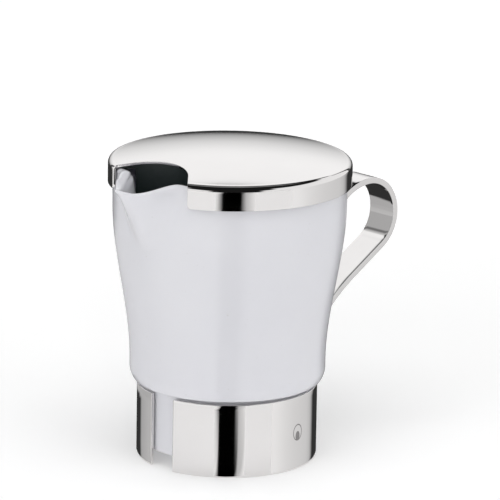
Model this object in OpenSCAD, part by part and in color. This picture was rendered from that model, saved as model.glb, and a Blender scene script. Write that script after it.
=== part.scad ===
// Cream jug: a glazed porcelain vessel with a pulled spout, standing in a split steel base ring,
// with a bent steel strap handle and a lift-off steel lid that has a black plastic insert.
// Millimetres, +Z up. The origin is on the vessel's axis, in the plane the base ring stands on.
// The spout points along -X and the handle along +X.

/* [Vessel] */
// Outer radius of the wall just under the lid
body_top_r = 38.4; // [34:0.1:44]
// Outer radius of the narrow lower wall
body_low_r = 32.35; // [28:0.05:36]
// Height of the rounded rim
rim_z = 98.9; // [90:0.1:110]
// Thickness of the porcelain wall
wall = 2.2; // [1.6:0.1:3.5]
// Thickness of the porcelain floor
floor_t = 3.2; // [2:0.1:6]
// Outer radius of the foot inside the base ring
foot_r = 28; // [24:0.1:30]
// Height of the foot's underside above the table
foot_z = 4.8; // [2:0.1:10]
// Radius of the rounded lower edge of the wall
corner_r = 7; // [4:0.1:8]

/* [Spout] */
// How far the lip's tip stands out from the wall
spout_reach = 12.7; // [8:0.1:16]
// Half the angle that the spout takes of the rim
spout_half = 24; // [15:0.5:30]
// Height at which the spout leaves the wall
spout_low_z = 74.5; // [60:0.5:85]
// How far the lip dips below the rim on each side of its tip
spout_drop = 2.5; // [1.5:0.1:4]
// How far the lip's tip stands above those dips
tip_rise = 1.1; // [0:0.1:1.4]

/* [Lid] */
// Outer radius of the lid's skirt
lid_r = 40; // [39.5:0.1:44]
// Height of the skirt's lower edge
skirt_z = 92.3; // [88:0.1:96]
// Height of the crown where it meets the rounded edge
shoulder_z = 100.3; // [99:0.1:104]
// Rise of the crown from its shoulder to its middle
crown_h = 3.5; // [1:0.1:8]
// Radius of the rounded edge between crown and skirt
edge_r = 2; // [1:0.1:3]
// Thickness of the lid's sheet
sheet = 0.8; // [0.5:0.05:1.2]
// Radius of the round notch over the spout
notch_r = 17.5; // [12:0.1:22]
// Distance of the notch's centre from the axis
notch_x = 43; // [38:0.1:50]
// Height of the lid insert's lower edge
insert_z = 89.6; // [85:0.1:95]

/* [Base ring] */
// Outer radius of the ring
ring_r = 29.8; // [28:0.1:34]
// Thickness of the ring's sheet
ring_t = 1.2; // [0.8:0.1:2]
// Height of the ring
ring_h = 24.7; // [15:0.1:30]
// Width of the gap in the ring under the spout
ring_gap = 10.1; // [4:0.1:16]
// Height of the shadow gap between the ring and the vessel's shoulder
seat_gap = 1.2; // [0.2:0.1:2]

/* [Handle] */
// Width of the strap
strap_w = 11; // [8:0.1:16]
// Thickness of the strap
strap_t = 2; // [1.2:0.1:3]
// Distance of the loop's centre from the axis
loop_x = 60; // [56:0.1:66]
// Height of the loop's centre
loop_z = 71.3; // [66:0.1:76]
// Outer radius of the loop's round end
loop_r = 13.5; // [11:0.1:16]

/* [Hidden] */
$fn = 96;

far = 60;                  // long enough to cut right through
gap = 0.1;                 // clearance where the lid's flange sits on the rim
body_in_r = body_top_r - wall;
flare_low_z = 33;          // the wall flares between these two heights
flare_high_z = 85;
corner_z = 30.4;           // height of the lower corner's centre
seat_z = ring_h + seat_gap;    // underside of the vessel's shoulder
foot_in_r = foot_r - wall;
recess_r = foot_r - 3;     // shallow recess inside the unglazed foot edge
recess_h = 1.2;
steps = 13;                // cones that make up the flare

crown_r = (pow(lid_r - edge_r, 2) + crown_h * crown_h) / (2 * crown_h);
crown_cz = shoulder_z + crown_h - crown_r;
flange_z = rim_z + gap;    // the insert's flange rests on the rim
flange_r = body_top_r - 0.6;
plug_r = body_in_r - 0.7;
plug_t = 1.2;
curtain_gap = 0.9;         // distance from the notch's edge to the curtain wall
seal_r = body_in_r - 0.15;
seal_z = 94.6;
seal_h = 2.2;
seal_bed = 0.6;            // depth of the seal's groove
seal_open = 80;            // half the angle left open round the spout
flank = 45;                // the notch's flanks and the insert's cheeks run at this angle

bond_t = 0.3;              // adhesive at the strap's middle
bond_w = strap_w - 1;

function flare(z) = let (u = min(1, max(0, (z - flare_low_z) / (flare_high_z - flare_low_z))))
    3 * u * u - 2 * u * u * u;
function body_r(z) = body_low_r + (body_top_r - body_low_r) * flare(z);
function arc(cx, cy, r, a0, a1, n) = [for (i = [0:n]) let (a = a0 + (a1 - a0) * i / n)
    [cx + r * cos(a), cy + r * sin(a)]];

// ---- vessel ----

module vessel_outer() {
    corner_a = -asin((corner_z - seat_z) / corner_r);
    rotate_extrude()
        polygon(concat(
            [[0, foot_z], [foot_r, foot_z], [foot_r, seat_z]],
            arc(body_low_r - corner_r, corner_z, corner_r, corner_a, 0, 8),
            [for (i = [0:steps]) let (z = flare_low_z + (flare_high_z - flare_low_z) * i / steps)
                [body_r(z), z]],
            arc(body_top_r - wall / 2, rim_z - wall / 2, wall / 2, 0, 90, 6),
            [[0, rim_z]]
        ));
}

module vessel_cavity() {
    bore_top_z = corner_z - 8;   // inside, the foot's bore widens into the belly from here
    cone_top_z = corner_z - 1;
    cone_top_r = body_low_r - wall - 0.6;
    belly_z = flare_low_z + 2;
    floor_r = 6;
    top = rim_z - wall / 2;
    rotate_extrude()
        polygon(concat(
            [[0, foot_z + floor_t]],
            arc(foot_in_r - floor_r, foot_z + floor_t + floor_r, floor_r, -90, 0, 8),
            [[foot_in_r, bore_top_z], [cone_top_r, cone_top_z]],
            [for (i = [0:steps]) let (z = belly_z + (flare_high_z - belly_z) * i / steps)
                [body_r(z) - wall, z]],
            [[body_in_r, top]],
            arc(body_top_r - wall / 2, top, wall / 2, 180, 90, 6),
            [[body_top_r - wall / 2, far * 2], [0, far * 2]]
        ));
}

// A rounded tent with hollow sides: 1 on the spout's ridge and 0 where it leaves the wall.
ridge = 0.14;              // roundness of the ridge
hollow = 1.8;              // how hollow the sides are
tip_z = rim_z - spout_drop + tip_rise;
lip_curl = 0.12;           // share of the reach that comes from the lip's outward curl
flank_rise = 0.25;         // the pulled rim swells this much before it dips
ridge_edge = sqrt(1 + ridge * ridge);
function tent(t) = pow((ridge_edge - sqrt(t * t + ridge * ridge)) / (ridge_edge - ridge), hollow);
function smooth(u) = let (v = min(1, max(0, u))) 3 * v * v - 2 * v * v * v;
function spout_u(z) = min(1, max(0, (z - spout_low_z) / (tip_z - spout_low_z)));
function spout_grow(u) = (1 - lip_curl) * pow(u, 1.35) + lip_curl * pow(u, 14);
function spout_a(z) = spout_half * sqrt(0.02 + 0.98 * spout_u(z));
function spout_out(z, sink) = (spout_reach + sink) * spout_grow(spout_u(z)) - sink;
function polar(r, a, z) = [-r * cos(a), r * sin(a), z];

// The lip's edge from the tip, t = 0, over the dip beside it, up to the rim at t = 1.
function lip_z(t) = let (d = abs(t)) rim_z - spout_drop
    + (spout_drop + flank_rise) * smooth((d - 0.17) / 0.62)
    + tip_rise * (1 - smooth(d / 0.2))
    - (flank_rise + 0.4) * smooth((d - 0.8) / 0.2);

// The skin is made a little too high, and the lip's line is cut through it.
function skin_top(t) = lip_z(t) + 0.6 * (1 - smooth((abs(t) - 0.55) / 0.35));

// Heights of a column's points, closer together near the top.
function row_z(low, top, i) = top - (top - low) * pow(1 - i / spout_rows, 1.7);

// Joins the four corner lines of each column, from one side of the spout to the other.
module ribbon_solid(columns) {
    m = len(columns[0]);
    n = len(columns);
    sides = [for (j = [0:n - 2], i = [0:m - 1]) let (k = (i + 1) % m)
        [j * m + i, (j + 1) * m + i, (j + 1) * m + k, j * m + k]];
    tris = [for (f = sides) each [[f[0], f[1], f[2]], [f[0], f[2], f[3]]]];
    end_a = [for (i = [0:m - 1]) i];
    end_b = [for (i = [m - 1:-1:0]) (n - 1) * m + i];
    polyhedron([for (c = columns) each c], concat(tris, [end_a, end_b]), convexity = 4);
}

spout_cols = 32;
spout_rows = 12;

// The spout's outer skin, closed off inside the wall.
module spout_shell() {
    ribbon_solid([for (j = [0:spout_cols]) let (t = 2 * j / spout_cols - 1)
        concat(
            [for (i = [0:spout_rows]) let (z = row_z(spout_low_z, skin_top(t), i), sink = 0.4)
                polar(body_r(z) - sink + (spout_out(z, sink) + sink) * tent(t), spout_a(z) * t, z)],
            [for (i = [spout_rows:-1:0]) let (z = row_z(spout_low_z, skin_top(t), i))
                polar(body_r(z) - wall / 2 - 0.2, spout_a(z) * t, z)]
        )]);
}

// The pouring channel, cut from the belly out to the inside of the lip.
module spout_channel() {
    sink = 0.5;
    thin = 0.9;              // the sloping flanks need this much more than the wall, radially
    low = spout_low_z + 3;
    ribbon_solid([for (j = [0:spout_cols]) let (t = 2 * j / spout_cols - 1)
        concat(
            [for (i = [0:spout_rows]) let (z = row_z(low, tip_z, i))
                polar(body_r(z) - wall - sink + (spout_out(z, thin) + sink) * tent(t),
                    spout_a(z) * t, z)],
            [polar(body_in_r - sink + (spout_reach - thin + sink) * tent(t), spout_half * t, far * 2)],
            [polar(body_in_r / 2, spout_half * t, far * 2)],
            [polar(body_in_r / 2, spout_a(low) * t, low)]
        )]);
}

// Takes the rim down to the lip's line where the spout has replaced the wall.
module lip_cut() {
    reach = 0.8;
    ribbon_solid([for (j = [0:spout_cols]) let (t = reach * (2 * j / spout_cols - 1))
        [polar(body_in_r - 5, spout_half * t, lip_z(t)),
            polar(far, spout_half * t, lip_z(t)),
            polar(far, spout_half * t, far * 2),
            polar(body_in_r - 5, spout_half * t, far * 2)]
        ]);
}

module vessel() {
    color([0.95, 0.95, 0.96])
    difference() {
        union() {
            vessel_outer();
            spout_shell();
        }
        vessel_cavity();
        spout_channel();
        lip_cut();
        translate([0, 0, foot_z - 1])
            cylinder(r = recess_r, h = recess_h + 1);
    }
}

// ---- base ring ----

module base_ring() {
    color([0.78, 0.78, 0.8])
    difference() {
        cylinder(r = ring_r, h = ring_h);
        translate([0, 0, -1])
            cylinder(r = ring_r - ring_t, h = ring_h + 2);
        translate([-far, -ring_gap / 2, -1])
            cube([far, ring_gap, ring_h + 2]);
    }
}

// Clear adhesive band between the ring and the porcelain foot.
module ring_liner() {
    band_z = foot_z + 3;
    band_h = 15;
    color([0.9, 0.9, 0.88])
    difference() {
        translate([0, 0, band_z])
            cylinder(r = ring_r - ring_t, h = band_h);
        translate([0, 0, band_z - 1])
            cylinder(r = foot_r, h = band_h + 2);
        translate([-far, -ring_gap / 2 - 1, band_z - 1])
            cube([far, ring_gap + 2, band_h + 2]);
    }
}

// ---- handle ----

// The strap's side view follows its outer face by arcs: a foot on the flaring wall, a straight
// upper leg, the flatter crest, the round end, a slowly steepening lower leg and a lower foot.
crest_r = 20;
top_slope = 33;            // slopes of the legs, in degrees
low_slope = 31.5;
end_slope = 43;
sweep_r = 60;
sweep_x = 53;              // where the lower leg begins to steepen
foot_bend = 5;
foot_mid_z = 66;           // the upper foot is level with the wall here
foot_tilt = 9.2;           // the wall's lean there
foot_len = 8.5;
lower_foot_r = body_low_r + bond_t + strap_t;
lower_foot_a = -26;        // the lower foot wraps this far round the wall's lower corner

crest_cz = loop_z + loop_r - crest_r;
crest_end = [loop_x - crest_r * sin(top_slope), crest_cz + crest_r * cos(top_slope)];
foot_mid = [body_r(foot_mid_z) + bond_t, foot_mid_z];
leg_len = (crest_end[0] - foot_mid[0] - tan(foot_tilt) * (crest_end[1] - foot_mid[1]))
    / (cos(top_slope) - tan(foot_tilt) * sin(top_slope))
    - foot_bend * tan((90 - foot_tilt - top_slope) / 2);
foot_bend_c = [crest_end[0] - leg_len * cos(top_slope) + foot_bend * sin(top_slope),
    crest_end[1] - leg_len * sin(top_slope) - foot_bend * cos(top_slope)];

sweep_start = [sweep_x, loop_z - loop_r * cos(low_slope)
    - (loop_x + loop_r * sin(low_slope) - sweep_x) * tan(low_slope)];
sweep_end = [sweep_x - sweep_r * (sin(end_slope) - sin(low_slope)),
    sweep_start[1] - sweep_r * (cos(low_slope) - cos(end_slope))];
lower_turn = foot_bend * (1 - sin(end_slope));
lower_meet = [lower_foot_r + lower_turn,
    sweep_end[1] - (sweep_end[0] - lower_foot_r - lower_turn) * tan(end_slope)];

// A point on the upper foot; along is measured down from the end of its bend.
function upper_foot(along, inset) = [
    foot_bend_c[0] - (foot_bend - inset) * cos(foot_tilt) - along * sin(foot_tilt),
    foot_bend_c[1] + (foot_bend - inset) * sin(foot_tilt) - along * cos(foot_tilt)];

// One face of the strap; inset is 0 for the outer face and strap_t for the inner one.
function strap_face(inset) = concat(
    [upper_foot(foot_len, inset)],
    arc(foot_bend_c[0], foot_bend_c[1], foot_bend - inset, 180 - foot_tilt, 90 + top_slope, 6),
    arc(loop_x, crest_cz, crest_r - inset, 90 + top_slope, 90, 8),
    arc(loop_x, loop_z, loop_r - inset, 87, -90 + low_slope, 30),
    arc(sweep_start[0] + sweep_r * sin(low_slope), sweep_start[1] - sweep_r * cos(low_slope),
        sweep_r + inset, 90 + low_slope, 90 + end_slope, 5),
    arc(lower_meet[0] + foot_bend * sin(end_slope), lower_meet[1] - foot_bend * cos(end_slope),
        foot_bend + inset, 90 + end_slope, 180, 6),
    arc(body_low_r - corner_r, corner_z, corner_r + bond_t + strap_t - inset, 0, lower_foot_a, 6)
);

module across(w) {
    rotate([90, 0, 0])
        translate([0, 0, -w / 2])
            linear_extrude(height = w)
                children();
}

module handle_strap() {
    inner = strap_face(strap_t);
    back = [for (i = [len(inner) - 1:-1:0]) inner[i]];
    color([0.78, 0.78, 0.8])
    across(strap_w)
        polygon(concat(strap_face(0), back));
}

// Adhesive between the flat upper foot and the round wall.
module upper_bond() {
    top = upper_foot(0.5, 0);
    low = upper_foot(foot_len - 0.5, 0);
    depth = [3, 0];
    color([0.6, 0.6, 0.6])
    difference() {
        across(bond_w)
            polygon([top, low, low - depth, top - depth]);
        vessel_outer($fn = 360);
    }
}

module lower_bond() {
    top_z = corner_z + 3;
    back_r = corner_r - 2;
    color([0.6, 0.6, 0.6])
    difference() {
        across(bond_w)
            polygon(concat(
                [[body_low_r - 2, top_z], [body_low_r + bond_t, top_z]],
                arc(body_low_r - corner_r, corner_z, corner_r + bond_t, 0, lower_foot_a + 3, 5),
                arc(body_low_r - corner_r, corner_z, back_r, lower_foot_a + 3, 0, 5)
            ));
        vessel_outer($fn = 360);
    }
}

// ---- lid ----

// The lid's face from the skirt's edge to the middle of the crown, inset by a thickness.
function cap_face(inset) = concat(
    [[lid_r - inset, skirt_z]],
    arc(lid_r - edge_r, shoulder_z - edge_r, edge_r - inset, 0, 78, 6),
    [for (i = [0:16]) let (r = (lid_r - edge_r - 1) * (1 - i / 16))
        [r, crown_cz + sqrt(pow(crown_r - inset, 2) - r * r)]]
);

// Round notch whose flanks open outwards from where its circle has turned through the flank angle.
module notch(grow) {
    r = notch_r + grow;
    side = [r * cos(flank), r * sin(flank)];
    open = [side[0] - far * sin(flank), side[1] + far * cos(flank)];
    translate([-notch_x, 0]) {
        circle(r = r);
        polygon([side, open, [open[0], -open[1]], [side[0], -side[1]]]);
    }
}

module lid_cap() {
    inner = cap_face(sheet);
    back = [for (i = [len(inner) - 1:-1:0]) inner[i]];
    color([0.78, 0.78, 0.8])
    difference() {
        rotate_extrude()
            polygon(concat(cap_face(0), back));
        translate([0, 0, skirt_z - 1])
            linear_extrude(height = far)
                notch(0);
    }
}

module under_cap(inset) {
    rotate_extrude()
        polygon(concat([[0, insert_z - 1], [lid_r - inset, insert_z - 1]],
            cap_face(inset)));
}

// Circle less the notch.
module insert_outline(r, grow) {
    difference() {
        circle(r = r);
        notch(grow);
    }
}

// The same between two straight cheeks, which leave the rim's inside free on each side of the spout.
module plug_outline(r, grow, thick) {
    apex = thick / sin(flank) - notch_x;
    intersection() {
        insert_outline(r, grow);
        translate([apex, 0])
            polygon([[0, 0], [2 * far * cos(flank), 2 * far * sin(flank)],
                [2 * far * cos(flank), -2 * far * sin(flank)]]);
    }
}

// Moulded insert: a plate under the crown, a flange on the rim, a plug wall in the rim, a curtain
// wall round the notch and a cheek on each side that joins the two. Cream passes under the curtain
// on its way to the spout.
module lid_insert() {
    glue = 0.05;
    plate_t = 1.1;
    inset = sheet + glue;
    color([0.08, 0.08, 0.09])
    difference() {
        intersection() {
            under_cap(inset);
            union() {
                translate([0, 0, insert_z])
                    linear_extrude(height = far)
                        plug_outline(plug_r, curtain_gap, 0);
                translate([0, 0, flange_z])
                    linear_extrude(height = far)
                        insert_outline(flange_r, curtain_gap);
            }
        }
        intersection() {
            under_cap(inset + plate_t);
            translate([0, 0, insert_z - 1])
                linear_extrude(height = far)
                    plug_outline(plug_r - plug_t - seal_bed, curtain_gap + plug_t, plug_t);
        }
        translate([0, 0, seal_z])
            difference() {
                cylinder(r = far, h = seal_h);
                translate([0, 0, -1])
                    cylinder(r = plug_r - seal_bed, h = seal_h + 2);
                seal_opening(1);
            }
    }
}

// Wedge round the spout that the seal and its groove leave out.
module seal_opening(less) {
    a = seal_open - less;
    side = [-far * cos(a), far * sin(a)];
    translate([0, 0, -1])
        linear_extrude(height = seal_h + 2)
            polygon([[0, 0], side, [-far * 2, far], [-far * 2, -far], [side[0], -side[1]]]);
}

module lid_seal() {
    slack = 0.05;
    color([0.85, 0.85, 0.85])
    translate([0, 0, seal_z + slack])
        difference() {
            cylinder(r = seal_r, h = seal_h - 2 * slack);
            translate([0, 0, -1])
                cylinder(r = plug_r - seal_bed + slack, h = seal_h + 2);
            seal_opening(0);
        }
}

vessel();
base_ring();
ring_liner();
handle_strap();
upper_bond();
lower_bond();
lid_cap();
lid_insert();
lid_seal();
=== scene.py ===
"""Cream jug: porcelain vessel, split steel base ring, strap handle and notched lift-off lid."""
import math

import bmesh
import bpy
from mathutils import Matrix, Vector


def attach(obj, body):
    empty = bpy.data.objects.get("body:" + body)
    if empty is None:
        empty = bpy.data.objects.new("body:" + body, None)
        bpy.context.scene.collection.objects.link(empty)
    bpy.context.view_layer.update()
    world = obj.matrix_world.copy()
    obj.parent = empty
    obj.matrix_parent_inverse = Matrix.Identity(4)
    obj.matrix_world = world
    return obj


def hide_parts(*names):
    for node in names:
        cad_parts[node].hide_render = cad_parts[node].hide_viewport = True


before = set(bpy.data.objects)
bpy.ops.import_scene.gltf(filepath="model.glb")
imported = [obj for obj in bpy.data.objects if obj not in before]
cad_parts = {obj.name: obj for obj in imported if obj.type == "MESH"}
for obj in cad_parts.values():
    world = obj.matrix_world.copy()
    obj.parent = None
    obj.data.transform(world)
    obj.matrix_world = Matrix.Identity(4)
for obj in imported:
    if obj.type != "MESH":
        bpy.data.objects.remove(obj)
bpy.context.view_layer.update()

MM = 0.001


# ---------------------------------------------------------------- camera

CAM_AT = Vector((-1.0420, -1.0790, 0.4652))
CAM_AZ = 46                        # degrees from +X towards +Y in which it looks
CAM_PITCH = 0.2582                 # downwards, in radians like the next two
CAM_ROLL = 0.015
CAM_YAW = 0.00444                  # sets the jug a little left of the middle
CAM_LENS = 340.4

ch, sh = math.cos(math.radians(CAM_AZ)), math.sin(math.radians(CAM_AZ))
cp, sp = math.cos(CAM_PITCH), math.sin(CAM_PITCH)
look = Vector((ch * cp, sh * cp, -sp))
right = Vector((sh, -ch, 0))
up = right.cross(look)
cam_data = bpy.data.cameras.new("camera")
cam_data.lens = CAM_LENS
cam_data.sensor_width = 36
cam_data.clip_start = 0.05
cam_data.clip_end = 20
cam = bpy.data.objects.new("camera", cam_data)
bpy.context.collection.objects.link(cam)
turn = Matrix((right, up, -look)).transposed()
turn = turn @ Matrix.Rotation(CAM_ROLL, 3, "Z") @ Matrix.Rotation(-CAM_YAW, 3, "Y")
cam.matrix_world = Matrix.Translation(CAM_AT) @ turn.to_4x4()
bpy.context.scene.camera = cam


# ---------------------------------------------------------------- sizes, in mm, mostly as in the CAD
#
# The spout's ridge is rounder than the CAD's and its reach a little shorter.

BODY_TOP_R, BODY_LOW_R = 38.4, 32.35
FLARE_LOW, FLARE_HIGH = 33, 85
RIM_Z, WALL = 98.9, 2.2
FOOT_R, FOOT_Z, FLOOR_T = 28, 4.8, 3.2
CORNER_R, CORNER_Z = 7, 30.4
SEAT_Z = 25.9
SPOUT_REACH, SPOUT_HALF = 12.45, math.radians(24)
SPOUT_LOW_Z, SPOUT_DROP, TIP_RISE = 74.5, 2.5, 1.1
RIDGE, HOLLOW = 0.21, 1.8            # roundness of the spout's ridge, hollowness of its sides
RIDGE_LOW = 0.45                     # the ridge is rounder where the spout begins
LIP_CURL, FLANK_RISE = 0.12, 0.25

LID_R, SKIRT_Z, SHOULDER_Z, CROWN_H = 40, 92.3, 100.3, 3.5
EDGE_R, SHEET = 2, 0.8
NOTCH_R, NOTCH_X = 17.5, 43
FLANK = math.radians(45)

RING_R, RING_T, RING_H, RING_GAP = 29.8, 1.2, 24.7, 10.1

STRAP_W, STRAP_T = 11, 2
LOOP_X, LOOP_Z, LOOP_R = 60, 71.3, 13.5


def smooth(u):
    u = min(1, max(0, u))
    return u * u * (3 - 2 * u)


def band(x, start, rise, end, fall):
    """1 from start to end, rising and falling softly inside them."""
    return smooth((x - start) / rise) * smooth((end - x) / fall)


def cos_d(a):
    return math.cos(math.radians(a))


def sin_d(a):
    return math.sin(math.radians(a))


def tan_d(a):
    return math.tan(math.radians(a))


def arc(cx, cy, r, a0, a1, n):
    """Points of an arc, angles in degrees."""
    angles = [math.radians(a0 + (a1 - a0) * i / n) for i in range(n + 1)]
    return [(cx + r * math.cos(a), cy + r * math.sin(a)) for a in angles]


def body_r(z):
    return BODY_LOW_R + (BODY_TOP_R - BODY_LOW_R) * smooth((z - FLARE_LOW) / (FLARE_HIGH - FLARE_LOW))


# ---------------------------------------------------------------- mesh helpers

def new_piece(name, verts, faces, body, nodes):
    """A smooth-shaded mesh piece from points in mm."""
    mesh = bpy.data.meshes.new(name)
    mesh.from_pydata([Vector(v) * MM for v in verts], [], faces)
    mesh.validate()
    bm = bmesh.new()
    bm.from_mesh(mesh)
    bmesh.ops.remove_doubles(bm, verts=bm.verts, dist=1e-6)
    bmesh.ops.recalc_face_normals(bm, faces=bm.faces)
    bm.to_mesh(mesh)
    bm.free()
    for p in mesh.polygons:
        p.use_smooth = True
    obj = bpy.data.objects.new(name, mesh)
    bpy.context.collection.objects.link(obj)
    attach(obj, body)
    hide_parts(*nodes)
    return obj


def bevel(obj, width, segments=3):
    """Rounds the edges that turn by more than 40 degrees."""
    m = obj.modifiers.new("bevel", "BEVEL")
    m.width = width * MM
    m.segments = segments
    m.limit_method = "ANGLE"
    m.angle_limit = math.radians(40)
    m.harden_normals = False


def grid_faces(cols, rows, closed):
    """Quads between neighbouring columns of points, column by column."""
    out = []
    for j in range(cols if closed else cols - 1):
        k = (j + 1) % cols
        for i in range(rows - 1):
            out.append((j * rows + i, k * rows + i, k * rows + i + 1, j * rows + i + 1))
    return out


# ---------------------------------------------------------------- vessel

LIP_H = WALL / 2           # height of the lip's rounding
CURL_TOP = RIM_Z - SPOUT_DROP + TIP_RISE - 0.6   # where the curl is complete
JOIN_Z = 72                # the vessel's rows are closer together above this height
# Extra porcelain inside beside the spout: thickness, azimuth and half width in degrees, lower end.
# The CAD has none; with it the porcelain's inside shows past the insert.
CHEEK_T, CHEEK_AZ, CHEEK_HALF, CHEEK_LOW = 2.4, 17.5, 13, 80


def spout_profile(t, ridge):
    """1 on the spout's ridge, falling in a hollow to 0 where the spout leaves the wall."""
    edge = math.sqrt(1 + ridge * ridge)
    return max(0, (edge - math.sqrt(t * t + ridge * ridge)) / (edge - ridge)) ** HOLLOW


def spout_u(z):
    return min(1, max(0, (z - SPOUT_LOW_Z) / (CURL_TOP - SPOUT_LOW_Z)))


def spout_angle(z):
    return SPOUT_HALF * math.sqrt(0.02 + 0.98 * spout_u(z))


def outer_r(a, z):
    """Radius of the outer face at azimuth a from the spout, in radians."""
    u = spout_u(z)
    grow = SPOUT_REACH * ((1 - LIP_CURL) * u ** 1.35 + LIP_CURL * u ** 14)
    return body_r(z) + grow * spout_profile(a / spout_angle(z), RIDGE_LOW + (RIDGE - RIDGE_LOW) * u)


def lip_z(a):
    """Height of the lip's edge: the tip, a dip on each side of it, then up to the rim."""
    t = abs(a) / SPOUT_HALF
    return (RIM_Z - SPOUT_DROP + (SPOUT_DROP + FLANK_RISE) * smooth((t - 0.17) / 0.62)
            + TIP_RISE * (1 - smooth(t / 0.2)) - FLANK_RISE * smooth((t - 0.8) / 0.2))


def oblique(a, z):
    """How much thicker the wall is along the radius than square to its face."""
    d = 0.004
    slope = (outer_r(a + d, z) - outer_r(a - d, z)) / (2 * d * outer_r(a, z))
    return math.sqrt(1 + slope * slope)


def cheek(a, z, top):
    """Extra thickness inside the wall on each side of the spout, where it runs into the round rim."""
    below_lip = 0.6 + 0.4 * smooth((top - z) / 1.5)
    off_middle = abs(abs(math.degrees(a)) - CHEEK_AZ)
    return CHEEK_T * below_lip * smooth((z - CHEEK_LOW) / 8) * smooth(1 - off_middle / CHEEK_HALF)


def vessel_path(a):
    """Section of the vessel at azimuth a, from under the foot, up outside and down inside."""
    # shallow recess under the foot, its standing edge and its outer side up to the shoulder
    recess_r, recess_h, recess_edge = FOOT_R - 3, 1.2, 0.4
    foot_edge = 0.5
    pts = [(0, FOOT_Z + recess_h), (recess_r / 2, FOOT_Z + recess_h)]
    pts += [(recess_r - 1, FOOT_Z + recess_h)]
    pts += arc(recess_r - recess_edge, FOOT_Z + recess_h - recess_edge, recess_edge, 90, 0, 3)
    pts += arc(recess_r + recess_edge, FOOT_Z + recess_edge, recess_edge, 180, 270, 3)
    pts += arc(FOOT_R - foot_edge, FOOT_Z + foot_edge, foot_edge, -90, 0, 4)
    side_h = SEAT_Z - FOOT_Z - 1.1
    pts += [(FOOT_R, FOOT_Z + foot_edge + side_h * i / 5) for i in range(1, 5)]
    pts += arc(FOOT_R + foot_edge, SEAT_Z - foot_edge, foot_edge, 180, 90, 3)
    pts += [(FOOT_R + 1.4, SEAT_Z)]
    # rounded lower corner and flaring wall
    low = -math.degrees(math.asin((CORNER_Z - SEAT_Z) / CORNER_R))
    pts += arc(BODY_LOW_R - CORNER_R, CORNER_Z, CORNER_R, low + 3, 0, 14)
    pts += [(body_r(z), z) for z in (31.2, 32)]
    n = 22
    pts += [(body_r(z), z) for z in [FLARE_LOW + (JOIN_Z - FLARE_LOW) * i / n for i in range(n)]]
    top = lip_z(a) - LIP_H
    n = 44
    rows = [top - (top - JOIN_Z) * (1 - i / n) ** 1.5 for i in range(n + 1)]
    pts += [(outer_r(a, z), z) for z in rows]
    # rounded rim, which leans out as the wall below it does
    out_r, thick = outer_r(a, top), WALL * oblique(a, top) + cheek(a, top, top)
    lean = (out_r - outer_r(a, top - 0.3)) / 0.3
    mid = out_r - thick / 2
    rim = [math.radians(180 * i / 14) for i in range(1, 14)]
    pts += [(mid + thick / 2 * math.cos(t) + lean * LIP_H * math.sin(t), top + LIP_H * math.sin(t))
            for t in rim]
    # inside, down to the belly, into the foot's bore and over the floor
    pts += [(outer_r(a, z) - WALL * oblique(a, z) - cheek(a, z, top), z) for z in reversed(rows)]
    n = 14
    belly = FLARE_LOW + 2
    pts += [(body_r(z) - WALL, z) for z in [JOIN_Z + (belly - JOIN_Z) * i / n for i in range(1, n + 1)]]
    pts += [(BODY_LOW_R - WALL - 0.6, 29.4), (BODY_LOW_R - WALL - 1.6, 27)]
    pts += [(FOOT_R - WALL + 0.4, 24), (FOOT_R - WALL, 22), (FOOT_R - WALL, 18)]
    floor_r = 6
    floor_z = FOOT_Z + FLOOR_T
    pts += arc(FOOT_R - WALL - floor_r, floor_z + floor_r, floor_r, 0, -90, 8)
    pts += [(10, floor_z), (0, floor_z)]
    return pts


def make_vessel():
    fine, coarse = 110, 180           # columns beside the spout, and round the rest
    reach = math.radians(34)
    azimuths = [-reach + 2 * reach * j / fine for j in range(fine)]
    azimuths += [reach + (2 * math.pi - 2 * reach) * j / coarse for j in range(coarse)]
    verts = []
    for a in azimuths:
        near = a if a <= math.pi else a - 2 * math.pi
        path = vessel_path(near)
        verts += [(-r * math.cos(a), r * math.sin(a), z) for r, z in path]
    return new_piece("vessel_body", verts, grid_faces(len(azimuths), len(path), True),
                     "jug", ["vessel"])


# ---------------------------------------------------------------- lid

JOIN_R = LID_R - EDGE_R        # the crown runs into the rounded edge here
CROWN_RAD = (JOIN_R ** 2 + CROWN_H ** 2) / (2 * CROWN_H)
CROWN_CZ = SHOULDER_Z + CROWN_H - CROWN_RAD
FLANK_OFF = NOTCH_X * math.sin(FLANK) - NOTCH_R     # distance of the flank's line from the axis


def crown_point(r, inset):
    """Point and outward normal of the cap's face at radius r, up to the rounded edge's side."""
    blend_from, blend_w = JOIN_R - 0.3, 0.9
    z = CROWN_CZ + math.sqrt(CROWN_RAD ** 2 - r * r)
    n = (r / CROWN_RAD, (z - CROWN_CZ) / CROWN_RAD)
    if r > blend_from:
        c = min(1, max(-1, (r - JOIN_R) / EDGE_R))
        s = math.sin(math.acos(c))
        blend = smooth((r - blend_from) / blend_w)
        z = (SHOULDER_Z - EDGE_R + EDGE_R * s) * blend + z * (1 - blend)
        n = (c * blend + n[0] * (1 - blend), s * blend + n[1] * (1 - blend))
        length = math.hypot(*n)
        n = (n[0] / length, n[1] / length)
    return (r - n[0] * inset, z - n[1] * inset)


def flank_azimuth(r):
    """Azimuth, from the spout's side, at which the notch's straight flank crosses radius r."""
    return FLANK - math.asin(FLANK_OFF / r)


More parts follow.
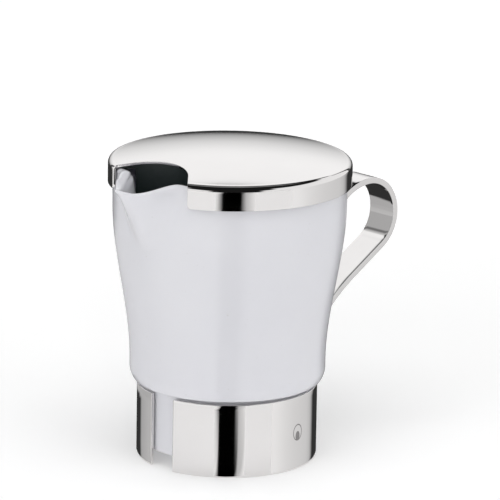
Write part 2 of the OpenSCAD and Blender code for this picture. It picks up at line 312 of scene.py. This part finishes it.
def notch_outline(far_r):
    """The notch's edge from one side to the other, up to radius far_r, as (azimuth, radius)."""
    length = math.sqrt(far_r ** 2 - FLANK_OFF ** 2) - NOTCH_X * math.cos(FLANK)
    side_n, arc_n = 18, 96
    side = []
    for i in range(1, side_n):
        d = length * i / side_n
        x = NOTCH_X - NOTCH_R * math.cos(FLANK) + d * math.sin(FLANK)
        y = NOTCH_R * math.sin(FLANK) + d * math.cos(FLANK)
        side.append((math.atan2(y, x), math.hypot(x, y)))
    middle = []
    for i in range(arc_n + 1):
        p = FLANK * (2 * i / arc_n - 1)
        x, y = NOTCH_X - NOTCH_R * math.cos(p), NOTCH_R * math.sin(p)
        middle.append((math.atan2(y, x), math.hypot(x, y)))
    return [(-a, r) for a, r in reversed(side)] + middle + side


def make_lid_cap():
    # rays from the middle to the cap's outline, round the notch and then round the skirt, each with
    # its azimuth, its length and whether the skirt hangs from it
    skirt_n, edge_rows, skirt_rows = 320, 8, 14
    corner = 1.5                     # rounding of the skirt's lower corners at the notch
    follow_w = 3                     # width by the cut that keeps to the flank round the edge
    far_r = JOIN_R + 0.7
    cut = flank_azimuth(far_r)
    rays = [(a, r, False) for a, r in notch_outline(far_r)]
    notch_n = len(rays) + 1
    span = 2 * math.pi - 2 * cut
    for j in range(skirt_n + 1):
        u = j / skirt_n
        eased = u - 0.9 * math.sin(2 * math.pi * u) / (2 * math.pi)   # closer together by the cut
        rays.append((cut + span * eased, far_r, True))
    inner_rows = [JOIN_R * i / 40 for i in range(41)]
    inner_rows += [JOIN_R + (far_r - JOIN_R) * i / 6 for i in range(1, 7)]
    verts, index = [], {}

    def add(key, r, z, a):
        index[key] = len(verts)
        verts.append((-r * math.cos(a), r * math.sin(a), z))

    a_top = math.degrees(math.acos((far_r - JOIN_R) / EDGE_R))
    high = SHOULDER_Z - EDGE_R
    for side, inset in (("out", 0.0), ("in", SHEET)):
        for j, (a, reach, skirt) in enumerate(rays):
            for i, r0 in enumerate(inner_rows):
                r = r0 * reach / far_r
                pr, pz = crown_point(r, inset)
                add((side, j, i), max(pr, 0), pz, a)
            if not skirt:
                continue
            k = len(inner_rows)
            away = max(0.0, min(a - cut, 2 * math.pi - cut - a)) * LID_R
            hand = 1 if a < math.pi else -1
            follow = hand * max(0.0, 1 - away / follow_w) ** 2
            for pr, pz in arc(JOIN_R, high, EDGE_R - inset, a_top, 0, edge_rows)[1:]:
                add((side, j, k), pr, pz, a + follow * (flank_azimuth(pr) - cut))
                k += 1
            lift = 0.0
            if away < corner:
                lift = corner - math.sqrt(corner ** 2 - (corner - away) ** 2)
            low = SKIRT_Z + lift
            pr = LID_R - inset
            for i in range(1, skirt_rows + 1):
                z = high + (low - high) * i / skirt_rows
                add((side, j, k), pr, z, a + follow * (flank_azimuth(pr) - cut))
                k += 1
    part = len(inner_rows)
    full = part + edge_rows + skirt_rows
    faces = []

    def add_face(*corners):
        faces.append(tuple(index[c] for c in corners))

    n = len(rays)
    for j in range(n):
        k = (j + 1) % n
        rows = full if rays[j][2] and rays[k][2] and k else part
        for i in range(rows - 1):
            add_face(("out", j, i), ("out", k, i), ("out", k, i + 1), ("out", j, i + 1))
            add_face(("in", k, i), ("in", j, i), ("in", j, i + 1), ("in", k, i + 1))
        last = rows - 1
        add_face(("out", j, last), ("out", k, last), ("in", k, last), ("in", j, last))
    for j in (notch_n - 1, n - 1):       # the skirt's two cut ends
        for i in range(part - 1, full - 1):
            add_face(("out", j, i), ("in", j, i), ("in", j, i + 1), ("out", j, i + 1))
    obj = new_piece("lid_cap_sheet", verts, faces, "lid", ["lid_cap"])
    bevel(obj, 0.16)
    return obj


# ---------------------------------------------------------------- base ring

def make_base_ring():
    half = math.asin(RING_GAP / 2 / RING_R)
    cols, rows = 300, 12
    verts = []
    profile = [(RING_R, RING_H * i / rows) for i in range(rows + 1)]
    profile += [(RING_R - RING_T, RING_H * (rows - i) / rows) for i in range(rows + 1)]
    for j in range(cols + 1):
        a = half + (2 * math.pi - 2 * half) * j / cols
        verts += [(-r * math.cos(a), r * math.sin(a), z) for r, z in profile]
    m = len(profile)
    faces = grid_faces(cols + 1, m, False)
    for j in range(cols):
        faces.append((j * m, (j + 1) * m, (j + 1) * m + m - 1, j * m + m - 1))
    for j in (0, cols):
        for i in range(rows):
            faces.append((j * m + i, j * m + i + 1, j * m + m - 2 - i, j * m + m - 1 - i))
    obj = new_piece("base_ring_band", verts, faces, "jug", ["base_ring"])
    bevel(obj, 0.22)
    return obj


# ---------------------------------------------------------------- handle

def strap_path():
    """The strap's outer face in side view, with its outward normals, as (x, z, nx, nz)."""
    bond, foot_bend = 0.3, 5
    crest_r, top_slope, low_slope, end_slope = 20, 33, 31.5, 43
    sweep_r, sweep_x = 60, 53
    foot_mid_z, foot_tilt, foot_len, lower_foot_a = 66, 9.2, 8.5, -26
    mid = (body_r(foot_mid_z) + bond, foot_mid_z)
    crest_cz = LOOP_Z + LOOP_R - crest_r
    crest_end = (LOOP_X - crest_r * sin_d(top_slope), crest_cz + crest_r * cos_d(top_slope))
    leg = ((crest_end[0] - mid[0] - tan_d(foot_tilt) * (crest_end[1] - mid[1]))
           / (cos_d(top_slope) - tan_d(foot_tilt) * sin_d(top_slope))
           - foot_bend * tan_d((90 - foot_tilt - top_slope) / 2))
    bend_c = (crest_end[0] - leg * cos_d(top_slope) + foot_bend * sin_d(top_slope),
              crest_end[1] - leg * sin_d(top_slope) - foot_bend * cos_d(top_slope))
    sweep_start = (sweep_x, LOOP_Z - LOOP_R * cos_d(low_slope)
                   - (LOOP_X + LOOP_R * sin_d(low_slope) - sweep_x) * tan_d(low_slope))
    sweep_end = (sweep_x - sweep_r * (sin_d(end_slope) - sin_d(low_slope)),
                 sweep_start[1] - sweep_r * (cos_d(low_slope) - cos_d(end_slope)))
    lower_x = BODY_LOW_R + bond + STRAP_T + foot_bend * (1 - sin_d(end_slope))
    meet = (lower_x, sweep_end[1] - (sweep_end[0] - lower_x) * tan_d(end_slope))
    out = []

    def bend(cx, cz, r, a0, a1, steps, side=1):
        """Adds an arc; side is -1 where the strap's outer face is hollow."""
        for i in range(steps + 1):
            a = a0 + (a1 - a0) * i / steps
            out.append((cx + r * cos_d(a), cz + r * sin_d(a), side * cos_d(a), side * sin_d(a)))

    # upper foot, straight but for its bend
    nx, nz = -cos_d(foot_tilt), sin_d(foot_tilt)
    start = (bend_c[0] + foot_bend * nx, bend_c[1] + foot_bend * nz)
    foot_rows = 12
    for i in range(foot_rows):
        d = foot_len * (1 - i / foot_rows)
        out.append((start[0] - d * sin_d(foot_tilt), start[1] - d * cos_d(foot_tilt), nx, nz))
    bend(*bend_c, foot_bend, 180 - foot_tilt, 90 + top_slope, 14)
    # crest, round end, lower leg and lower foot
    bend(LOOP_X, crest_cz, crest_r, 90 + top_slope, 90, 16)
    bend(LOOP_X, LOOP_Z, LOOP_R, 88, -90 + low_slope, 60)
    bend(sweep_start[0] + sweep_r * sin_d(low_slope), sweep_start[1] - sweep_r * cos_d(low_slope),
         sweep_r, 90 + low_slope, 90 + end_slope, 14, -1)
    bend(meet[0] + foot_bend * sin_d(end_slope), meet[1] - foot_bend * cos_d(end_slope),
         foot_bend, 90 + end_slope, 180, 14, -1)
    bend(BODY_LOW_R - CORNER_R, CORNER_Z, CORNER_R + bond + STRAP_T, 0, lower_foot_a, 12)
    # fill the straight legs so that the mesh has even faces
    spacing = 0.8
    filled = [out[0]]
    for p in out[1:]:
        q = filled[-1]
        d = math.hypot(p[0] - q[0], p[1] - q[1])
        if d < 1e-5:                 # two stretches meet in this point
            continue
        steps = max(1, int(d / spacing))
        for i in range(1, steps + 1):
            v = [q[k] + (p[k] - q[k]) * i / steps for k in range(4)]
            length = math.hypot(v[2], v[3])
            filled.append((v[0], v[1], v[2] / length, v[3] / length))
    return filled


def make_handle():
    path = strap_path()
    lengths = [0.0]
    for p, q in zip(path, path[1:]):
        lengths.append(lengths[-1] + math.hypot(q[0] - p[0], q[1] - p[1]))
    total = lengths[-1]
    across, round_end = 10, 3.5       # faces across the strap, radius of its ends' corners
    verts = []
    for (x, z, nx, nz), so_far in zip(path, lengths):
        d = min(so_far, total - so_far)
        w = STRAP_W / 2
        if d < round_end:
            w += math.sqrt(max(0.0, round_end ** 2 - (round_end - d) ** 2)) - round_end
        ys = [-w + 2 * w * i / across for i in range(across + 1)]
        verts += [(x, y, z) for y in ys]
        verts += [(x - nx * STRAP_T, y, z - nz * STRAP_T) for y in reversed(ys)]
    m = 2 * (across + 1)
    faces = []
    for j in range(len(path) - 1):
        for i in range(m):
            k = (i + 1) % m
            faces.append((j * m + i, (j + 1) * m + i, (j + 1) * m + k, j * m + k))
    for j in (0, len(path) - 1):
        for i in range(across):
            faces.append((j * m + i, j * m + i + 1, j * m + m - 2 - i, j * m + m - 1 - i))
    obj = new_piece("handle_strap_band", verts, faces, "jug", ["handle_strap"])
    bevel(obj, 0.95, 8)
    return obj


# ---------------------------------------------------------------- materials

class Nodes:
    """Short calls for building a node tree."""

    def __init__(self, name):
        self.mat = bpy.data.materials.new(name)
        self.mat.use_nodes = True
        self.tree = self.mat.node_tree
        self.bsdf = self.tree.nodes["Principled BSDF"]

    def add(self, kind, **values):
        node = self.tree.nodes.new(kind)
        for key, value in values.items():
            if key in node.inputs:
                node.inputs[key].default_value = value
            else:
                setattr(node, key, value)
        return node

    def link(self, a, out, b, into):
        self.tree.links.new(a.outputs[out], b.inputs[into])

    def set(self, **values):
        for key, value in values.items():
            self.bsdf.inputs[key.replace("_", " ")].default_value = value

    def coords(self, scale=(1, 1, 1)):
        """Object coordinates in metres, stretched."""
        tex = self.add("ShaderNodeTexCoord")
        mapping = self.add("ShaderNodeMapping")
        mapping.inputs["Scale"].default_value = scale
        self.link(tex, "Object", mapping, "Vector")
        return mapping

    def noise(self, scale, detail=3, stretch=(1, 1, 1), rough=0.5):
        n = self.add("ShaderNodeTexNoise", Scale=scale, Detail=detail, Roughness=rough)
        self.link(self.coords(stretch), "Vector", n, "Vector")
        return n

    def ramp(self, source, out, lo, hi, to_lo, to_hi):
        """Maps lo to hi onto to_lo to to_hi and stops at both ends."""
        r = self.add("ShaderNodeMapRange")
        r.inputs["From Min"].default_value = lo
        r.inputs["From Max"].default_value = hi
        r.inputs["To Min"].default_value = to_lo
        r.inputs["To Max"].default_value = to_hi
        self.link(source, out, r, "Value")
        return r

    def mix(self, factor, out, a, b):
        """From colour a to colour b as the factor goes from 0 to 1."""
        m = self.add("ShaderNodeMix", data_type="RGBA")
        m.inputs["A"].default_value = (*a, 1)
        m.inputs["B"].default_value = (*b, 1)
        self.link(factor, out, m, "Factor")
        return m

    def cover(self, factor, out, under, colour):
        """Lays a colour over what another mix gives."""
        m = self.add("ShaderNodeMix", data_type="RGBA")
        m.inputs["B"].default_value = (*colour, 1)
        self.link(factor, out, m, "Factor")
        self.link(under, "Result", m, "A")
        return m

    def bump(self, source, out, strength, distance, under=None):
        b = self.add("ShaderNodeBump", Strength=strength, Distance=distance)
        self.link(source, out, b, "Height")
        if under:
            self.link(under, "Normal", b, "Normal")
        return b


def porcelain():
    """Glazed white porcelain that light goes a little way into."""
    n = Nodes("white_glaze")
    n.set(Specular_IOR_Level=0.5, IOR=1.52, Subsurface_Weight=0.35, Subsurface_Scale=0.0025)
    n.bsdf.inputs["Subsurface Radius"].default_value = (1, 1, 1)
    cloud = n.noise(22, 4)
    tone = n.mix(n.ramp(cloud, "Fac", 0.35, 0.65, 0, 1), "Result",
                 (0.75, 0.75, 0.79), (0.775, 0.775, 0.81))
    # tiny pinholes and grey specks in the glaze
    speck = n.noise(1500, 2)
    spots = n.ramp(speck, "Fac", 0.74, 0.78, 0, 1)
    dotted = n.cover(spots, "Result", tone, (0.62, 0.61, 0.6))
    # bare biscuit on the foot's standing edge
    where = n.add("ShaderNodeTexCoord")
    split = n.add("ShaderNodeSeparateXYZ")
    n.link(where, "Object", split, "Vector")
    bare = n.ramp(split, "Z", (FOOT_Z + 0.25) * MM, (FOOT_Z + 0.05) * MM, 0, 1)
    foot = n.cover(bare, "Result", dotted, (0.74, 0.72, 0.68))
    n.link(foot, "Result", n.bsdf, "Base Color")
    sheen = n.noise(60, 3)
    rough = n.ramp(sheen, "Fac", 0.3, 0.7, 0.10, 0.17)
    both = n.add("ShaderNodeMath", operation="ADD")
    n.link(rough, "Result", both, 0)
    bare_rough = n.ramp(bare, "Result", 0, 1, 0, 0.5)
    n.link(bare_rough, "Result", both, 1)
    n.link(both, "Value", n.bsdf, "Roughness")
    wave = n.bump(n.noise(90, 2), "Fac", 0.05, 0.0004)
    fine = n.bump(speck, "Fac", 0.03, 0.00005, wave)
    n.link(fine, "Normal", n.bsdf, "Normal")
    return n.mat


def steel(name, mark=False):
    """Polished stainless steel with fine wear, and the etched mark if asked for."""
    n = Nodes(name)
    n.set(Metallic=1.0)
    haze = n.noise(35, 4)
    tone = n.mix(n.ramp(haze, "Fac", 0.3, 0.7, 0, 1), "Result",
                 (0.745, 0.73, 0.725), (0.775, 0.76, 0.755))
    smear = n.noise(70, 5, (1, 1, 2.5))
    rough = n.ramp(smear, "Fac", 0.35, 0.75, 0.035, 0.075)
    # hairline marks of polishing and use, in several directions
    marks = n.noise(900, 2, (1, 1, 0.02))
    lines = n.ramp(marks, "Fac", 0.66, 0.74, 0, 1)
    total = n.add("ShaderNodeMath", operation="MULTIPLY_ADD")
    total.inputs[1].default_value = 0.05
    n.link(lines, "Result", total, 0)
    n.link(rough, "Result", total, 2)
    normal = n.bump(n.noise(26, 2), "Fac", 0.03, 0.0004)
    if mark:
        tone, total = etched_mark(n, tone, total)
    n.link(tone, "Result", n.bsdf, "Base Color")
    n.link(total, "Value", n.bsdf, "Roughness")
    n.link(normal, "Normal", n.bsdf, "Normal")
    return n.mat


def etched_mark(n, tone, rough):
    """A plain etched device, a drop in a ring, on the band to the right of the spout."""
    turn, mid_z = math.radians(277.6), 12.6
    where = n.add("ShaderNodeTexCoord")
    local = n.add("ShaderNodeMapping", vector_type="TEXTURE")
    local.inputs["Location"].default_value = (RING_R * math.cos(turn) * MM,
                                              RING_R * math.sin(turn) * MM, mid_z * MM)
    local.inputs["Rotation"].default_value = (0, 0, turn + math.pi / 2)
    local.inputs["Scale"].default_value = (MM, MM, MM)
    n.link(where, "Object", local, "Vector")
    parts = n.add("ShaderNodeSeparateXYZ")         # X along the band, Z up it, in mm
    n.link(local, "Vector", parts, "Vector")

    def maths(operation, *values):
        m = n.add("ShaderNodeMath", operation=operation)
        for i, v in enumerate(values):
            if isinstance(v, (int, float)):
                m.inputs[i].default_value = v
            else:
                n.tree.links.new(v, m.inputs[i])
        return m.outputs["Value"]

    def length(x, y):
        return maths("SQRT", maths("ADD", maths("MULTIPLY", x, x), maths("MULTIPLY", y, y)))

    x, z = parts.outputs["X"], parts.outputs["Z"]
    ring_line = maths("COMPARE", length(x, maths("MULTIPLY", z, 0.8)), 2.1, 0.16)
    drop_z = maths("ADD", z, 0.3)
    narrowing = maths("MULTIPLY_ADD", z, -0.45, 0.75)
    drop = maths("LESS_THAN", length(x, maths("MULTIPLY", drop_z, 0.8)), narrowing)
    outside = maths("LESS_THAN", maths("ABSOLUTE", parts.outputs["Y"]), 0.6)
    etched = maths("MULTIPLY", maths("MAXIMUM", ring_line, drop), outside)
    dark = n.add("ShaderNodeMix", data_type="RGBA")
    dark.inputs["B"].default_value = (0.30, 0.29, 0.29, 1)
    n.tree.links.new(etched, dark.inputs["Factor"])
    n.link(tone, "Result", dark, "A")
    rougher = n.add("ShaderNodeMath", operation="MULTIPLY_ADD")
    rougher.inputs[1].default_value = 0.4
    n.tree.links.new(etched, rougher.inputs[0])
    n.link(rough, "Value", rougher, 2)
    return dark, rougher


# Near-black moulded plastic for the lid's insert. The insert is part of the lid; its near-black colour
# is painted shade, standing for the dark inside of the jug under the lid.
def black_insert_painted_shade():
    n = Nodes("black_moulded_painted_shade")
    grain = n.noise(2600, 3)
    tone = n.mix(n.ramp(n.noise(40, 3), "Fac", 0.3, 0.7, 0, 1), "Result",
                 (0.004, 0.010, 0.010), (0.009, 0.017, 0.016))
    n.link(tone, "Result", n.bsdf, "Base Color")
    n.link(n.ramp(grain, "Fac", 0.3, 0.7, 0.34, 0.5), "Result", n.bsdf, "Roughness")
    n.link(n.bump(grain, "Fac", 0.15, 0.00006), "Normal", n.bsdf, "Normal")
    return n.mat


def soft_white(name, colour, rough_lo, rough_hi):
    """A soft pale material that light goes a little way into, for the seal and the adhesive."""
    n = Nodes(name)
    n.set(Subsurface_Weight=0.3, Subsurface_Scale=0.002)
    dark = tuple(c * 0.93 for c in colour)
    cloud = n.noise(300, 4)
    tone = n.mix(n.ramp(cloud, "Fac", 0.3, 0.7, 0, 1), "Result", colour, dark)
    n.link(tone, "Result", n.bsdf, "Base Color")
    n.link(n.ramp(cloud, "Fac", 0.3, 0.7, rough_lo, rough_hi), "Result", n.bsdf, "Roughness")
    n.link(n.bump(n.noise(900, 3), "Fac", 0.2, 0.00008), "Normal", n.bsdf, "Normal")
    return n.mat


def dress_node(name, mat):
    """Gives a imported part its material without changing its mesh."""
    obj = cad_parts[name]
    if obj.material_slots:
        for s in obj.material_slots:
            s.link = "OBJECT"
            s.material = mat
    else:
        obj.data.materials.append(mat)


plain_steel = steel("polished_steel")
for piece, material in ((make_vessel(), porcelain()), (make_lid_cap(), plain_steel),
                        (make_base_ring(), steel("polished_band", mark=True)),
                        (make_handle(), plain_steel)):
    piece.data.materials.append(material)

# the insert's near-black colour is painted shade for the dark inside under the lid
dress_node("lid_insert", black_insert_painted_shade())
dress_node("lid_seal", soft_white("silicone", (0.72, 0.72, 0.72), 0.4, 0.55))
glue = soft_white("adhesive", (0.66, 0.65, 0.62), 0.25, 0.4)
for node in ("ring_liner", "upper_bond", "lower_bond"):
    dress_node(node, glue)


# ---------------------------------------------------------------- studio
#
# A light tent round a pale floor. Directions are given as an azimuth from the camera's side of the
# jug, positive to the camera's right, and distances in metres. The tent and the cards lying on the
# floor are there for the steel to reflect; the camera doesn't see them.
#
# This isn't a plain studio. Its glow curves and the edges of its cards were worked out from how
# bright the steel is at chosen places in the photograph, so they suit that one view. From other
# sides the same cards show in the steel as dark shapes.

def floor_material():
    """Pale paper, lit from below, more so behind the jug."""
    n = Nodes("pale_floor")
    n.set(Roughness=0.7, Specular_IOR_Level=0.1)
    n.bsdf.inputs["Emission Color"].default_value = (1, 1, 1, 1)
    place = n.add("ShaderNodeTexCoord")
    behind = n.add("ShaderNodeVectorMath", operation="DOT_PRODUCT")
    behind.inputs[1].default_value = (ch, sh, 0)
    n.link(place, "Object", behind, 0)
    n.link(n.ramp(behind, "Value", 0.08, 0.5, 0.23, 0.42), "Result", n.bsdf, "Emission Strength")
    tone = n.mix(n.ramp(n.noise(3, 3), "Fac", 0.3, 0.7, 0, 1), "Result",
                 (0.90, 0.90, 0.90), (0.92, 0.92, 0.92))
    n.link(tone, "Result", n.bsdf, "Base Color")
    return n.mat


def glow_material():
    """Emission alone, as strong as the mesh's own glow attribute."""
    mat = bpy.data.materials.new("glow")
    mat.use_nodes = True
    tree = mat.node_tree
    tree.nodes.clear()
    out = tree.nodes.new("ShaderNodeOutputMaterial")
    emit = tree.nodes.new("ShaderNodeEmission")
    value = tree.nodes.new("ShaderNodeAttribute")
    value.attribute_name = "glow"
    tree.links.new(value.outputs["Fac"], emit.inputs["Strength"])
    tree.links.new(emit.outputs["Emission"], out.inputs["Surface"])
    return mat


GLOW = glow_material()


def toward(az, d, z=0.0):
    """A point at distance d from the axis; az 0 is towards the camera."""
    a = math.radians(CAM_AZ + 180 + az)
    return (d * math.cos(a), d * math.sin(a), z)


def toward_xy(side, depth, z):
    """A point given by how far it is to the camera's right and towards the camera."""
    az = math.degrees(math.atan2(side, depth))
    return toward(az, math.hypot(side, depth), z)


def glow_mesh(name, verts, faces, values, reflect_only=True):
    """A mesh the camera doesn't see, with a glow at each point; steel reflects it."""
    mesh = bpy.data.meshes.new(name)
    mesh.from_pydata(verts, [], faces)
    layer = mesh.attributes.new("glow", "FLOAT", "POINT")
    layer.data.foreach_set("value", values)
    obj = bpy.data.objects.new(name, mesh)
    bpy.context.collection.objects.link(obj)
    mesh.materials.append(GLOW)
    obj.visible_camera = False
    obj.visible_shadow = False
    if reflect_only:
        obj.visible_diffuse = False
        obj.visible_transmission = False


def table_curve(points, x):
    """Straight-line interpolation through (x, y) points."""
    if x <= points[0][0]:
        return points[0][1]
    for (x0, y0), (x1, y1) in zip(points, points[1:]):
        if x <= x1:
            return y0 + (y1 - y0) * (x - x0) / (x1 - x0)
    return points[-1][1]


DARK = 0.012
# Glow of the wall behind the jug by elevation, which the crown reflects.
BACKDROP = [(-2, 0.08), (-0.8, 0.15), (1, 0.31), (3.5, 0.48), (6.9, 0.65), (9.8, 0.79),
            (12.3, 0.885), (14.7, 0.97), (16.9, 1.04), (19, 1.08), (22.7, 1.11), (29, 1.11),
            (32, 1.11), (34, 1.09), (35.5, 0.95), (36.8, DARK)]
BACKDROP_HALF, BACKDROP_EDGE = 149, 143   # it begins at this azimuth, with a dim frame beside it
FRAME_TOP, FRAME_GLOW = 36, 0.08
CEILING = 0.22
SIDE_TOP = 46                         # the side walls glow up to this elevation
STRAP_SIDE, STRAP_TOP = -133, 52      # the strap's lower leg reflects higher up on this side
STRAP_START = -119                    # its loop reflects a greyer wall from here round
GREY_SIDE = 0.5


def side_start(az, e):
    """Where the side walls begin: it is dark towards the camera, and wider so higher up."""
    if az < 0:
        return 14 + 26 * smooth((e - 18) / 12)
    return 26 + 16 * smooth((e - 20) / 10)


def tent_glow(az, e):
    """How brightly the tent glows in a direction."""
    a = abs(az)
    # a dim ceiling on the far side, for the crown to reflect when it is seen from above
    ceiling = CEILING * smooth((a - 125) / 12) * band(e, 50, 14, 88, 8)
    if a > BACKDROP_HALF:
        return max(table_curve(BACKDROP, e), ceiling)
    if a > BACKDROP_EDGE and e < FRAME_TOP:
        return FRAME_GLOW
    fade = smooth((a - side_start(az, e)) / 8)
    top = STRAP_TOP + (SIDE_TOP - STRAP_TOP) * smooth((abs(az - STRAP_SIDE) - 10) / 12)
    below_top = table_curve([(top - 4, 1), (top - 0.5, 0)], e)
    # what the strap reflects: a grey wall for its loop, a darker line over it, a bright lower leg
    grey = band(az, STRAP_START, 4, -80, 4) * table_curve([(41.5, 1), (45.5, 0)], e)
    line = band(az, STRAP_START, 4, -96, 3) * band(e, 35, 2, 41.5, 2)
    leg = smooth((-108 - az) / 4) * smooth((e - 41) / 2)
    side = (1 - (1 - GREY_SIDE) * grey) * (1 - 0.6 * line) * (1 + 0.12 * leg)
    return max(DARK + (side - DARK) * fade * below_top, ceiling)


def make_tent():
    """A dome round the jug's middle, nearly closed at the top."""
    radius, middle_z = 3.2, 0.05
    azimuths = range(-180, 180)
    elevations = [-1.5 + 1.25 * i for i in range(74)]
    verts, values = [], []
    for az in azimuths:
        for e in elevations:
            verts.append(toward(az, radius * cos_d(e), middle_z + radius * sin_d(e)))
            values.append(tent_glow(az, e))
    faces = grid_faces(len(azimuths), len(elevations), True)
    glow_mesh("light_tent", verts, faces, values, reflect_only=False)


def floor_card(name, rows, values):
    """A card on the floor, from rows of (side, depth) points with a glow for each point."""
    verts = [toward_xy(*p, CARD_Z) for row in rows for p in row]
    glow_mesh(name, verts, grid_faces(len(rows), len(rows[0]), False), values)


FLOOR_GLOW = 1.03
CARD_Z = 0.0004


def make_front_card():
    """A dark wedge that opens from the ring towards the camera, with soft edges."""
    # how far out each row is, and how far to the right the wedge's soft and full edges are
    shape = [(0.030, -0.0040, -0.0025, 0.00265, 0.0062),
             (0.125, -0.0297, -0.0185, 0.0196, 0.0485),
             (0.400, -0.0880, -0.0440, 0.0690, 0.1700),
             (1.500, -0.3300, -0.1300, 0.2500, 0.6500),
             (3.100, -0.6500, -0.2500, 0.5000, 1.3000)]
    rows, values = [], []
    for depth, left_soft, left, right_full, right_soft in shape:
        between = right_full + (right_soft - right_full) * 0.35
        rows.append([(side, depth) for side in (left_soft, left, right_full, between, right_soft)])
        values += [FLOOR_GLOW, 0.0, 0.0, 0.62, FLOOR_GLOW]
    floor_card("card_front", rows, values)


CARD_DARK = 0.035
# Glow of the floor to the sides, by the angle round the ring at which it is seen reflected.
RIGHT_FLOOR = [(30, 1.0), (32, 0.995), (34, 0.975), (41, 0.87), (48, 0.80), (56, 0.75), (62, 0.71),
               (66, 0.62), (68, 0.5), (70, 0.3), (71.2, CARD_DARK)]
LEFT_FLOOR = [(-73.3, CARD_DARK), (-71.9, 0.2), (-70.8, 0.42), (-68, 0.47), (-60, 0.56), (-50, 0.58),
              (-42, 0.64), (-37.5, 1.0)]
FAR_FLOOR = [(1.04, 0.02), (3.1, 0.1)]    # by distance


def card_glow(psi, d):
    """The back card's glow at distance d along the line reflected at angle psi round the ring."""
    if psi > 0:
        near = table_curve(RIGHT_FLOOR, psi)
    else:
        # the strap reflects this floor further out, where it stays light further round
        strap = smooth((psi + 90) / 6) * band(d, 0.068, 0.011, 0.3, 0.06)
        near = table_curve(LEFT_FLOOR, max(psi, min(psi + 18 * strap, -62))) * (1 - 0.08 * strap)
    return max(near, table_curve(FAR_FLOOR, d)) * FLOOR_GLOW


def make_back_card():
    """Shades the floor to the sides and turns it dark behind the jug."""
    start_r = RING_R * MM + 0.0003         # just outside the ring
    fan = [30 + 1.5 * i for i in range(41)] + [-90 + 1.5 * i for i in range(36)]
    dists = [0.0, 0.02, 0.04, 0.06, 0.067, 0.071, 0.075, 0.079, 0.084, 0.09, 0.12, 0.16, 0.2,
             0.24, 0.27, 0.3, 0.45, 1.04, 2.2, 3.1]
    rows, values = [], []
    for d in dists:
        # a line of sight that meets the ring at angle psi is reflected to twice that angle
        rows.append([(start_r * sin_d(psi) + d * sin_d(2 * psi),
                      start_r * cos_d(psi) + d * cos_d(2 * psi)) for psi in fan])
        values += [card_glow(psi, d) for psi in fan]
    floor_card("card_back", rows, values)


def fill_light(name, az, d, z, size_x, size_y, power):
    """A soft light on the jug that the steel doesn't reflect."""
    data = bpy.data.lights.new(name, "AREA")
    data.shape = "RECTANGLE"
    data.size, data.size_y = size_x, size_y
    data.energy = power
    obj = bpy.data.objects.new(name, data)
    obj.location = toward(az, d, z)
    jug_middle = Vector((0, 0, 0.05))
    obj.rotation_euler = (jug_middle - obj.location).to_track_quat("-Z", "Y").to_euler()
    obj.visible_glossy = False
    bpy.context.collection.objects.link(obj)


FLOOR_HALF = 8
floor_mesh = bpy.data.meshes.new("floor")
floor_mesh.from_pydata([(x, y, 0) for x, y in ((-FLOOR_HALF, -FLOOR_HALF), (FLOOR_HALF, -FLOOR_HALF),
                                               (FLOOR_HALF, FLOOR_HALF), (-FLOOR_HALF, FLOOR_HALF))],
                       [], [(0, 1, 2, 3)])
floor = bpy.data.objects.new("floor", floor_mesh)
bpy.context.collection.objects.link(floor)
floor_mesh.materials.append(floor_material())
make_tent()
make_front_card()
make_back_card()
fill_light("front_fill", -8, 1.7, 0.9, 1.2, 0.8, 5)
fill_light("top_fill", 0, 0.5, 1.6, 1.4, 1.4, 15)

world = bpy.data.worlds.new("studio")
world.use_nodes = True
background = world.node_tree.nodes["Background"]
background.inputs["Color"].default_value = (1, 1, 1, 1)
background.inputs["Strength"].default_value = 0.8
bpy.context.scene.world = world
bpy.context.scene.view_settings.view_transform = "Standard"
